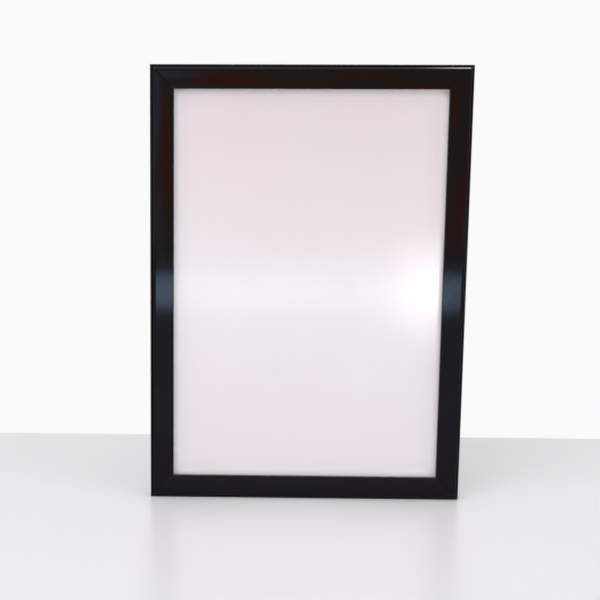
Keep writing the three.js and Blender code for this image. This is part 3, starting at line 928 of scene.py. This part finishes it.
@dataclass
class FrontRail:
    """One mitred front rail: rounded shoulder, hinge bead, slightly falling face, catch rib and lip."""

    side: Side
    sizes: Rail = RAIL
    arc_step: float = 4.0
    face_steps: int = 14
    under_steps: int = 5
    rounding: float = 0.12
    end_ring: float = 0.003

    def _arc(self, centre: Point, radius: float, start: float, stop: float) -> list[Point]:
        """Draws an arc.

        Args:
            centre: its centre, as (u, v).
            radius: its radius.
            start: its first angle, in degrees from +u towards +v.
            stop: its last angle.

        Returns:
            The points along it.
        """
        steps = max(1, math.ceil(abs(stop - start) / self.arc_step))
        angles = [math.radians(start + (stop - start) * i / steps) for i in range(steps + 1)]
        return [(centre[0] + radius * math.cos(a), centre[1] + radius * math.sin(a)) for a in angles]

    def _fall(self, u: float) -> float:
        """Returns how far behind the front plane the face lies at a distance u."""
        z = self.sizes
        return z.drop * ((u - z.hinge_u) / (z.width - z.hinge_u)) ** 2

    def _under(self, u: float) -> Point:
        """Returns the point on the face's underside at a distance u."""
        return u, self.sizes.plate + self._fall(u)

    def outline(self) -> list[Point]:
        """Draws the rail's section.

        Returns:
            Its points in order round it, as (u, v) in millimetres.
        """
        z = self.sizes
        hinge = (z.hinge_u, z.hinge_v)
        inner = z.shoulder - z.plate
        neck = math.degrees(math.acos(z.leg / 2 / z.bead))
        root = math.degrees(math.acos(z.leg / 2 / inner))
        catch = z.hinge_u + z.catch_offset
        tip = z.hinge_v + z.catch_reach
        lip = z.width - z.lip
        start = catch + z.catch
        run = lip - catch - z.catch
        under = [start + run * i / self.under_steps for i in range(self.under_steps + 1)]
        stop = z.width - z.edge
        face = [stop - (stop - z.hinge_u) * i / self.face_steps for i in range(1, self.face_steps + 1)]
        return [
            *self._arc(hinge, inner, 225, 180 + root),
            *self._arc(hinge, z.bead, 180 + neck, -neck),
            self._under(z.hinge_u + z.leg / 2),
            self._under(catch),
            (catch, tip),
            (start, tip),
            *[self._under(u) for u in under],
            (lip, z.hinge_v),
            (z.width, z.hinge_v),
            *self._arc((stop, self._fall(z.width) + z.edge), z.edge, 0, -90),
            *[(u, self._fall(u)) for u in face],
            *self._arc(hinge, z.shoulder, 270, 225)[1:],
        ]

    def _blank(self) -> Mesh:
        """Draws the section out by one millimetre.

        Returns:
            The run's mesh, with its faces pointing outwards.
        """
        shape = bmesh.new()
        points = self.outline()
        stations = (0.0, self.end_ring, 1.0 - self.end_ring, 1.0)
        rings = [[shape.verts.new((u, v, s)) for u, v in points] for s in stations]
        shape.faces.new(rings[0])
        shape.faces.new(rings[-1])
        for near, far in zip(rings, rings[1:]):
            for a, b, c, d in zip(near, near[1:] + near[:1], far[1:] + far[:1], far):
                shape.faces.new((a, b, c, d))
        bmesh.ops.recalc_face_normals(shape, faces=shape.faces)
        mesh = bpy.data.meshes.new(f"front_rail_{self.side.value}")
        shape.to_mesh(mesh)
        shape.free()
        return mesh

    @staticmethod
    def mitre(sizes: Rail) -> NodeShape:
        """Makes the tree that draws a run out to its side's length and mitres both its ends.

        Args:
            sizes: the rail's sizes.

        Returns:
            The tree.
        """
        shape = NodeShape("mitred_rail", {
            "Side length": sizes.frame_height,
            "Mitre gap": sizes.mitre_gap,
            "Hinge u": sizes.hinge_u,
            "Hinge v": sizes.hinge_v,
            "Bead reach": sizes.bead + sizes.fit,
            "Finish": None,
        })
        side, gap, hinge_u, hinge_v, reach, material = shape.given(*shape.keys)
        u, v, s = shape.split(shape.wire("GeometryNodeInputPosition"))
        across = u - hinge_u
        down = v - hinge_v
        on_bead = 1 - ((across * across + down * down) ** 0.5).over(reach)
        inset = u + on_bead * (hinge_u + reach - u) + gap
        end = (2 * s - 1) * (side / 2 - inset)
        drawn = shape.wire("GeometryNodeSetPosition", None, {
            "Geometry": shape.mesh(), "Position": shape.vector(u, v, end)})
        return shape.finish(drawn, material)

    def build(self, mitre: NodeShape) -> Object:
        """Makes the rail and lets it take the place of its CAD node.

        Args:
            mitre: the tree that mitres a run.

        Returns:
            The rail, riding on its own body.
        """
        z = self.sizes
        finish = GlossLacquer(f"gloss_lacquer_{self.side.along.name.lower()}", "gloss_black", self.side.along)
        piece = linked(f"front_rail_{self.side.value}", self._blank())
        mitre.apply(piece, Side_length=z.length(self.side), Finish=finish.material())
        bevelled(piece, self.rounding)
        settled(piece)
        piece.data.transform(z.place(self.side))
        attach(piece, f"snap_{self.side.value}")
        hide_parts(f"snap_rail_{self.side.value}")
        return piece


@dataclass
class Refined:
    """A CAD piece whose corners get the small rounding of the real one."""

    node: str
    finish: Finish
    rounding: float = 0.00015
    angle: float = 35.0
    weld: float = 0.000002
    flat: float = 1.0
    evenness: int = 90

    def build(self) -> Object:
        """Makes the rounded piece and lets it take the place of its CAD node.

        Returns:
            The piece.
        """
        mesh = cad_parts[self.node].data.copy()
        shape = bmesh.new()
        shape.from_mesh(mesh)
        bmesh.ops.remove_doubles(shape, verts=shape.verts, dist=self.weld)
        flat = math.radians(self.flat)
        bmesh.ops.dissolve_limit(shape, angle_limit=flat, verts=shape.verts, edges=shape.edges)
        shape.to_mesh(mesh)
        shape.free()
        mesh.materials.clear()
        mesh.materials.append(self.finish.material())
        mesh.shade_smooth()
        piece = linked(f"{self.node}_fine", mesh)
        bevelled(piece, self.rounding, self.angle)
        even = piece.modifiers.new("even_shading", "WEIGHTED_NORMAL")
        even.mode = "FACE_AREA"
        even.weight = self.evenness
        settled(piece, None)
        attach(piece, "frame")
        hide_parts(self.node)
        return piece


@dataclass
class Screws:
    """A family of countersunk screws with a cross recess, all of one length."""

    name: str
    nodes: Sequence[str]
    length: float
    finish: Finish
    head: float = 2.8
    shank: float = 1.5
    core: float = 0.96
    head_depth: float = 1.3
    arm: float = 3.3
    arm_width: float = 0.75
    arm_depth: float = 0.85
    head_sides: int = 40
    shank_sides: int = 24
    seed: int = 7

    def _places(self) -> Mesh:
        """Finds where the screws sit.

        Returns:
            One point for each, in the middle of its head's top.
        """
        mesh = bpy.data.meshes.new(self.name)
        middles = [(middle_of(node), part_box(node)[1].y) for node in self.nodes]
        mesh.from_pydata([(middle.x, top, middle.z) for middle, top in middles], [], [])
        return mesh

    def _tree(self) -> NodeShape:
        """Makes the tree that cuts one screw and sets a copy on each point.

        Returns:
            The tree.
        """
        shape = NodeShape(f"{self.name}_tree", {
            "Length": self.length * MM,
            "Head radius": self.head * MM,
            "Shank radius": self.shank * MM,
            "Head depth": self.head_depth * MM,
            "Recess length": self.arm * MM,
            "Recess width": self.arm_width * MM,
            "Recess depth": self.arm_depth * MM,
            "Seed": self.seed,
        })
        length, head, shank, depth, reach, width, recess, seed = shape.given(*shape.keys)
        cone = shape.wire("GeometryNodeMeshCone", None, {
            "Vertices": self.head_sides, "Radius Top": shank, "Radius Bottom": head, "Depth": depth}, "Mesh")
        stem = shape.wire("GeometryNodeMeshCylinder", None, {
            "Vertices": self.shank_sides, "Radius": shank * self.core, "Depth": length - depth}, "Mesh")
        stem = shape.moved(stem, z=depth + (length - depth) / 2)
        sink = 2 * recess
        carved = shape.carved(cone, shape.box(reach, width, sink), shape.box(width, reach, sink))
        whole = shape.wire("GeometryNodeTransform", None, {
            "Geometry": shape.together(carved, stem), "Rotation": (math.pi / 2, 0.0, 0.0)})
        spin = shape.wire("FunctionNodeRandomValue", {"data_type": "FLOAT"}, {
            "Min": 0.0, "Max": math.pi, "Seed": seed}, 1)
        copies = shape.copies(shape.mesh(), whole, Rotation=shape.vector(0.0, spin, 0.0))
        return shape.finish(copies, self.finish.material())

    def build(self) -> Object:
        """Makes the screws and lets them take the place of their CAD nodes.

        Returns:
            All of them as one piece.
        """
        piece = linked(self.name, self._places())
        self._tree().apply(piece, Length=self.length * MM)
        settled(piece)
        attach(piece, "frame")
        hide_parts(*self.nodes)
        return piece


@dataclass
class SpringClips:
    """The spring clips of one side: folded strips whose legs are slit into fingers."""

    side: Side
    nodes: Sequence[str]
    finish: Finish
    length: float = 60.0
    thickness: float = 0.4
    floor: float = 5.9
    height: float = 2.5
    flare: float = 0.3
    outer_leg: float = 10.8
    inner_leg: float = 12.8
    slit: float = 0.8
    slit_depth: float = 1.7
    slit_rise: float = 0.4
    slits: int = 5
    weld: float = 0.001

    def _section(self) -> Mesh:
        """Draws the folded strip's section.

        Returns:
            The section as one face.
        """
        tip = self.floor - self.height
        bend = tip + self.flare
        outer = self.outer_leg - self.thickness
        inner = self.inner_leg + self.thickness
        points = [
            (outer, self.floor), (outer, bend), (outer - self.flare, tip),
            (self.outer_leg - self.flare, tip), (self.outer_leg, bend),
            (self.outer_leg, self.floor - self.thickness), (self.inner_leg, self.floor - self.thickness),
            (self.inner_leg, bend), (self.inner_leg + self.flare, tip),
            (inner + self.flare, tip), (inner, bend), (inner, self.floor),
        ]
        mesh = bpy.data.meshes.new("snap_clips")
        mesh.from_pydata([(u, v, 0.0) for u, v in points], [], [list(range(len(points)))])
        return mesh

    def _tree(self, places: Iterable[float]) -> NodeShape:
        """Makes the tree that draws one clip, slits its legs and sets the copies along the side.

        Args:
            places: how far along the side each clip's middle lies.

        Returns:
            The tree.
        """
        shape = NodeShape(f"snap_clips_{self.side.value}_tree", {
            "Length": self.length,
            "Slit width": self.slit,
            "Slit depth": self.slit_depth,
            "Slits": self.slits,
        })
        length, slit, depth, slits = shape.given(*shape.keys)
        raised = shape.wire("GeometryNodeExtrudeMesh", None, {
            "Mesh": shape.mesh(), "Offset": shape.vector(0.0, 0.0, 1.0), "Offset Scale": length})
        back = shape.wire("GeometryNodeFlipFaces", None, {"Mesh": shape.mesh()})
        strip = shape.wire("GeometryNodeMergeByDistance", None, {
            "Geometry": shape.together(raised, back), "Distance": self.weld})
        width = self.inner_leg - self.outer_leg + 4 * self.thickness + 4 * self.flare
        gap = length / (slits + 1)
        row = shape.real(shape.row(shape.box(width, depth, slit), slits, gap))
        middle = (self.outer_leg + self.inner_leg) / 2
        row = shape.moved(row, middle, self.floor - self.height + depth * self.slit_rise, gap)
        clip = shape.moved(shape.carved(strip, row), z=length * -0.5)
        copies = [shape.moved(clip, z=place) for place in places]
        return shape.finish(shape.together(*copies), self.finish.material())

    def build(self) -> Object:
        """Makes the side's clips and lets them take the place of their CAD nodes.

        Returns:
            All of them as one piece.
        """
        turn = RAIL.place(self.side)
        places = [(turn.inverted() @ middle_of(node)).z for node in self.nodes]
        piece = linked(f"snap_clips_{self.side.value}", self._section())
        self._tree(places).apply(piece, Length=self.length)
        settled(piece)
        piece.data.transform(turn)
        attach(piece, "frame")
        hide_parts(*self.nodes)
        return piece


@dataclass
class LedStrip:
    """A circuit strip along one long side, with its row of chips."""

    side: Side
    board: Finish
    body: Finish
    lens: Finish
    count: int = 24
    board_length: float = 380.0
    board_width: float = 6.8
    board_thickness: float = 1.2
    chip_length: float = 3.5
    chip_width: float = 2.8
    chip_height: float = 0.9
    chip_middle: float = 3.0
    lens_length: float = 0.8
    lens_width: float = 0.74
    lens_rise: float = 0.04

    def _tree(self) -> NodeShape:
        """Makes the tree that lays the chips on the board.

        Returns:
            The tree.
        """
        shape = NodeShape(f"led_strip_{self.side.value}_tree", {
            "Board length": self.board_length,
            "Board width": self.board_width,
            "Board thickness": self.board_thickness,
            "Chips": self.count,
            "Chip length": self.chip_length,
            "Chip width": self.chip_width,
            "Chip height": self.chip_height,
        })
        length, width, thick, chips, long, wide, high = shape.given(*shape.keys)
        board = shape.moved(shape.box(thick, width, length), thick / 2, width / 2)
        body = shape.painted(shape.box(high, wide, long), self.body.material())
        lens = shape.box(high, wide * self.lens_width, long * self.lens_length)
        lens = shape.painted(lens, self.lens.material())
        chip = shape.together(body, shape.moved(lens, self.lens_rise))
        pitch = length / chips
        row = shape.row(chip, chips, pitch)
        row = shape.moved(row, thick + high / 2, self.chip_middle, pitch / 2 - length / 2)
        return shape.finish(shape.together(shape.painted(board, self.board.material()), row))

    def build(self) -> Object:
        """Makes the strip and lets it take the place of its CAD node.

        Returns:
            The strip.
        """
        node = f"led_strip_{self.side.value}"
        low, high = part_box(node)
        turn = RAIL.place(self.side)
        corners = [turn.inverted() @ corner for corner in (low, high)]
        u, v = (min(corner[i] for corner in corners) for i in range(2))
        piece = linked(f"{node}_fine", bpy.data.meshes.new(node))
        self._tree().apply(piece, Board_length=(high.z - low.z) / MM, Board_width=(high.y - low.y) / MM)
        settled(piece)
        piece.data.transform(turn @ Matrix.Translation((u, v, 0.0)))
        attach(piece, "frame")
        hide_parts(node)
        return piece


@dataclass
class FrontRails:
    """The four front rails."""

    sizes: Rail = RAIL

    def build(self) -> list[Object]:
        """Makes the rails of all four sides."""
        mitre = FrontRail.mitre(self.sizes)
        return [FrontRail(side, self.sizes).build(mitre) for side in Side]


@dataclass
class BaseFrame:
    """The base rails, their corner keys, their screws and the spring clips on them."""

    screw: Finish = SCREW_STEEL
    screw_length: float = 4.9
    spring: Finish = SPRING_STEEL
    key: Finish = CAST_ZINC

    def build(self) -> list[Object]:
        """Makes the base rails and what they hold.

        Returns:
            Their pieces.
        """
        made = []
        for side in Side:
            satin = SatinExtrusion(f"satin_extrusion_{side.along.name.lower()}", "satin_black", side.along)
            made.append(Refined(f"base_rail_{side.value}", satin).build())
            made.append(SpringClips(side, family(f"snap_clip_{side.value}_"), self.spring).build())
        made += [dress(node, self.key) for node in family("corner_key_")]
        made.append(Screws("corner_screws", family("corner_screw_"), self.screw_length, self.screw).build())
        return made


@dataclass
class PanelStack:
    """The sheets that fill the frame, from the cover to the back panel."""

    cover: Finish = ClearSheet("clear_sheet", "clear_plastic")
    opal: Finish = OpalAcrylic("opal_acrylic", "opal_acrylic")
    guide: Finish = DottedAcrylic("dotted_acrylic", "clear_acrylic")
    reflector: Finish = WhiteFilm("white_film", "white_film")
    back: Finish = FoamBoard("foam_board", "grey_panel")
    packer: Finish = WhiteFilm("packing_foam", "white_foam", 900.0, (0.78, 0.77, 0.74))

    def build(self) -> list[Object]:
        """Dresses the sheets and the packers.

        Returns:
            Their pieces.
        """
        finishes = {
            "cover_sheet": self.cover, "diffuser_panel": self.opal, "light_guide": self.guide,
            "reflector_sheet": self.reflector, "back_panel": self.back,
            "packer_top": self.packer, "packer_bottom": self.packer,
        }
        return [dress(node, finish) for node, finish in finishes.items()]


@dataclass
class Lighting:
    """The LED strips, their leads and the power inlet."""

    board: Finish = CircuitBoard("circuit_board", "white_board")
    chip: Finish = WhiteFilm("chip_body", "white_board", 5200.0, (0.84, 0.84, 0.82))
    lens: Finish = Phosphor("phosphor", "white_board")
    moulding: Finish = BLACK_PLASTIC
    brass: Finish = PlatedBrass("plated_brass", "plated_brass")
    screw: Finish = SCREW_STEEL
    screw_length: float = 7.0
    red: Finish = RED_SLEEVE
    black: Finish = BLACK_SLEEVE

    def build(self) -> list[Object]:
        """Makes the strips and the inlet, and dresses the leads.

        Returns:
            Their pieces.
        """
        screws = ["inlet_screw_upper", "inlet_screw_lower"]
        return [
            *[LedStrip(side, self.board, self.chip, self.lens).build() for side in (Side.LEFT, Side.RIGHT)],
            Refined("inlet_body", self.moulding, 0.00018).build(),
            Refined("inlet_pin", self.brass, 0.0003).build(),
            dress("inlet_contact", self.brass),
            dress("lead_right", self.red),
            dress("lead_left", self.black),
            Screws("inlet_screws", screws, self.screw_length, self.screw).build(),
        ]


@dataclass
class Hangers:
    """The keyhole plates and their screws."""

    screw: Finish = SCREW_STEEL
    screw_length: float = 4.0
    rounding: float = 0.0002

    def build(self) -> list[Object]:
        """Makes the plates and their screws.

        Returns:
            Their pieces.
        """
        made = []
        for node in family("hanger_plate_"):
            along = Along.X if "_top_" in node else Along.Z
            plate = PlatedSteel(f"plain_steel_{along.name.lower()}", "plain_steel", along)
            made.append(Refined(node, plate, self.rounding).build())
        made.append(Screws("hanger_screws", family("hanger_screw_"), self.screw_length, self.screw).build())
        return made


@dataclass(frozen=True)
class Lamp:
    """A soft rectangular lamp, with its power in watts and the angle that its light is held in."""

    name: str
    place: Place
    aim: Place
    power: float
    size: Point = (1.0, 1.0)
    colour: Colour = WHITE
    spread: float = 180.0

    def _light(self) -> Light:
        """Makes the lamp's light.

        Returns:
            The light, without its power.
        """
        light = bpy.data.lights.new(self.name, "AREA")
        light.shape = "RECTANGLE"
        light.size, light.size_y = self.size
        light.spread = math.radians(self.spread)
        light.color = self.colour
        return light

    def build(self) -> None:
        """Puts the lamp in the scene, pointing at its aim."""
        light = self._light()
        light.energy = self.power
        made = linked(self.name, light)
        made.location = self.place
        made.rotation_euler = (Vector(self.aim) - Vector(self.place)).to_track_quat("-Z", "Y").to_euler()


@dataclass(frozen=True)
class Spot(Lamp):
    """A spot lamp with a soft edge, whose spread is the angle of its cone."""

    radius: float = 0.03

    def _light(self) -> Light:
        """Makes the lamp's light.

        Returns:
            The light, without its power.
        """
        light = bpy.data.lights.new(self.name, "SPOT")
        light.spot_size = math.radians(self.spread)
        light.spot_blend = 1.0
        light.shadow_soft_size = self.radius
        return light


@dataclass(frozen=True)
class Room:
    """What the gloss mirrors: a plain dim room, with where along x, y or z each of its parts rises."""

    level: float = 0.69
    ahead_level: float = 0.85
    behind: Point = (-0.35, 0.15)
    behind_level: float = 0.9
    left: Point = (-0.4, 0.6)
    left_level: float = 0.50
    ceiling: Point = (0.45, 0.95)
    ceiling_level: float = 1.6
    glint_left: Point = (0.195, 0.262)
    glint_right: Point = (0.27, 0.31)
    glint_foot: Point = (0.72, 0.86)
    glint_level: float = 48.0
    patch_turn: Place = (3.1, 0.9, 2.2)
    patch_edge: Point = (0.52, 0.60)
    warm_scale: float = 9.0
    cool_scale: float = 15.0
    plain: Colour = (0.92, 0.86, 0.60)
    warm: Colour = (2.1, 0.50, 0.34)
    cool: Colour = (1.8, 1.8, 2.7)
    cool_left: Point = (0.0, 0.1)
    patch_sides: Point = (0.09, 0.16)
    patch_head: Point = (0.15, 0.35)


@dataclass
class Studio:
    """The floor, the lamps, the plain surroundings and the camera."""

    camera_place: Place = (-0.0836, -0.9421, 0.2883)
    pitch: float = -6.956
    roll: float = -0.322
    yaw: float = 1.143
    lens: float = 54.0
    sensor: float = 36.0
    shift: Point = (0.1519, 0.0588)
    reach: float = 9.0
    wall_line: float = 0.28
    floor_dark: Colour = (0.81, 0.795, 0.815)
    floor_light: Colour = (0.85, 0.835, 0.855)
    floor_rough: float = 0.285
    floor_gloss: Point = (0.35, 1.2)
    backdrop: float = 0.955
    room: Room = Room()
    lamps: tuple[Lamp, ...] = (
        Lamp("key_left", (-1.3, -1.5, 1.9), (0.0, 0.0, 0.22), 23.0, (1.6, 1.2)),
        Lamp("fill_right", (1.8, -1.2, 1.5), (0.0, 0.0, 0.22), 10.5, (1.4, 1.2)),
        Lamp("window_band", (0.17, -1.4, 0.12), (0.17, 0.0, 0.12), 0.62, (1.15, 0.085),
             (0.58, 0.84, 1.0), 90.0),
        Spot("window_glow", (0.62, -1.2, 0.30), (0.139, 0.0, 0.221), 20.0, spread=5.4),
    )

    def _sheet(self, name: str, near: float, far: float, material: Material) -> None:
        """Lays a wide flat sheet on the ground.

        Args:
            name: its name.
            near: how far behind the object's middle its front edge lies.
            far: how far behind it its back edge lies.
            material: its material.
        """
        mesh = bpy.data.meshes.new(name)
        side = self.reach
        corners = [(-side, near, 0), (side, near, 0), (side, far, 0), (-side, far, 0)]
        mesh.from_pydata(corners, [], [(0, 1, 2, 3)])
        mesh.materials.append(material)
        linked(name, mesh)

    def floor(self) -> None:
        """Makes the floor: pale, glossy near the object, and white as the backdrop from the wall line on."""
        paint = Paint("studio_floor")
        away = (paint.split(paint.place)[1] * -1).step(*self.floor_gloss)
        material = paint.surface(
            Base_Color=paint.blend(paint.noise(3.0, 2.0), self.floor_dark, self.floor_light),
            Roughness=self.floor_rough + away * (1.0 - self.floor_rough),
        )
        self._sheet("studio_floor", -self.reach, self.wall_line, material)
        paint = Paint("studio_backdrop")
        glow = paint.node("ShaderNodeEmission", None, {"Color": WHITE, "Strength": self.backdrop})
        self._sheet("studio_backdrop", self.wall_line, self.reach, paint.ended(glow))

    def world(self) -> None:
        """Makes the surroundings: white to the eye, and dim in front of the object, as in a plain room."""
        world = bpy.data.worlds.new("studio")
        world.use_nodes = True
        bpy.context.scene.world = world
        bench = Bench(world.node_tree)
        out = bench.node("ShaderNodeOutputWorld")
        path = bench.node("ShaderNodeLightPath")
        seen = Wire(bench, path.outputs["Is Camera Ray"])
        mirrored = Wire(bench, path.outputs["Is Glossy Ray"])
        way = bench.wire("ShaderNodeTexCoord", output="Generated")
        x, y, z = bench.split(way)
        room = self.room
        behind = y.step(*room.behind)
        glint = x.step(*room.glint_left) * (1 - x.step(*room.glint_right)) * z.step(*room.glint_foot)
        ahead = room.ahead_level + room.left_level * (x * -1.0).step(*room.left)
        ahead = ahead + room.ceiling_level * z.step(*room.ceiling) + room.glint_level * glint
        gloss = ahead + behind * (room.behind_level - ahead)
        strength = room.level + mirrored * (gloss - room.level)
        strength = strength + seen * (self.backdrop - strength)
        turned = bench.wire("ShaderNodeMapping", None, {"Vector": way, "Location": room.patch_turn})
        warm, cool = (
            bench.wire("ShaderNodeTexNoise", None, {"Vector": turned, "Scale": scale, "Detail": detail})
            for scale, detail in ((room.warm_scale, 2.0), (room.cool_scale, 1.0))
        )
        tint = bench.blend(warm.step(*room.patch_edge), room.plain, room.warm)
        tint = bench.blend(cool.step(*room.patch_edge) * (x * -1.0).step(*room.cool_left), tint, room.cool)
        low = (1 - (x * x).step(*room.patch_sides)) * (1 - z.step(*room.patch_head))
        colour = bench.blend(mirrored * (1 - seen) * (1 - behind) * low, WHITE, tint)
        shade = bench.wire("ShaderNodeBackground", None, {"Color": colour, "Strength": strength})
        bench.feed(out.inputs["Surface"], shade)

    def camera(self) -> None:
        """Adds the camera at the photograph's angle."""
        data = bpy.data.cameras.new("camera")
        data.lens = self.lens
        data.sensor_width = self.sensor
        data.shift_x, data.shift_y = self.shift
        made = linked("camera", data)
        turn = Matrix.Identity(4)
        for angle, axis in ((self.yaw, "Z"), (self.pitch, "X"), (self.roll, "Y"), (90.0, "X")):
            turn = turn @ Matrix.Rotation(math.radians(angle), 4, axis)
        made.matrix_world = Matrix.Translation(self.camera_place) @ turn
        bpy.context.scene.camera = made

    def build(self) -> None:
        """Sets up the studio."""
        self.floor()
        self.world()
        for lamp in self.lamps:
            lamp.build()
        self.camera()
        bpy.context.scene.view_settings.view_transform = "Standard"


def report(name: str, made: Sequence[Object]) -> None:
    """Logs each piece of a sub-assembly with its face count."""
    for piece in made:
        LOG.info("%s: %s, %d faces", name, piece.name, len(piece.data.polygons))


def main() -> None:
    """Builds the frame's sub-assemblies in order, then the studio."""
    logging.basicConfig(level=logging.INFO, format="%(name)s: %(message)s")
    report("front rails", FrontRails().build())
    report("base frame", BaseFrame().build())
    report("panel stack", PanelStack().build())
    report("lighting", Lighting().build())
    report("hangers", Hangers().build())
    Studio().build()


if __name__ == "__main__":
    main()
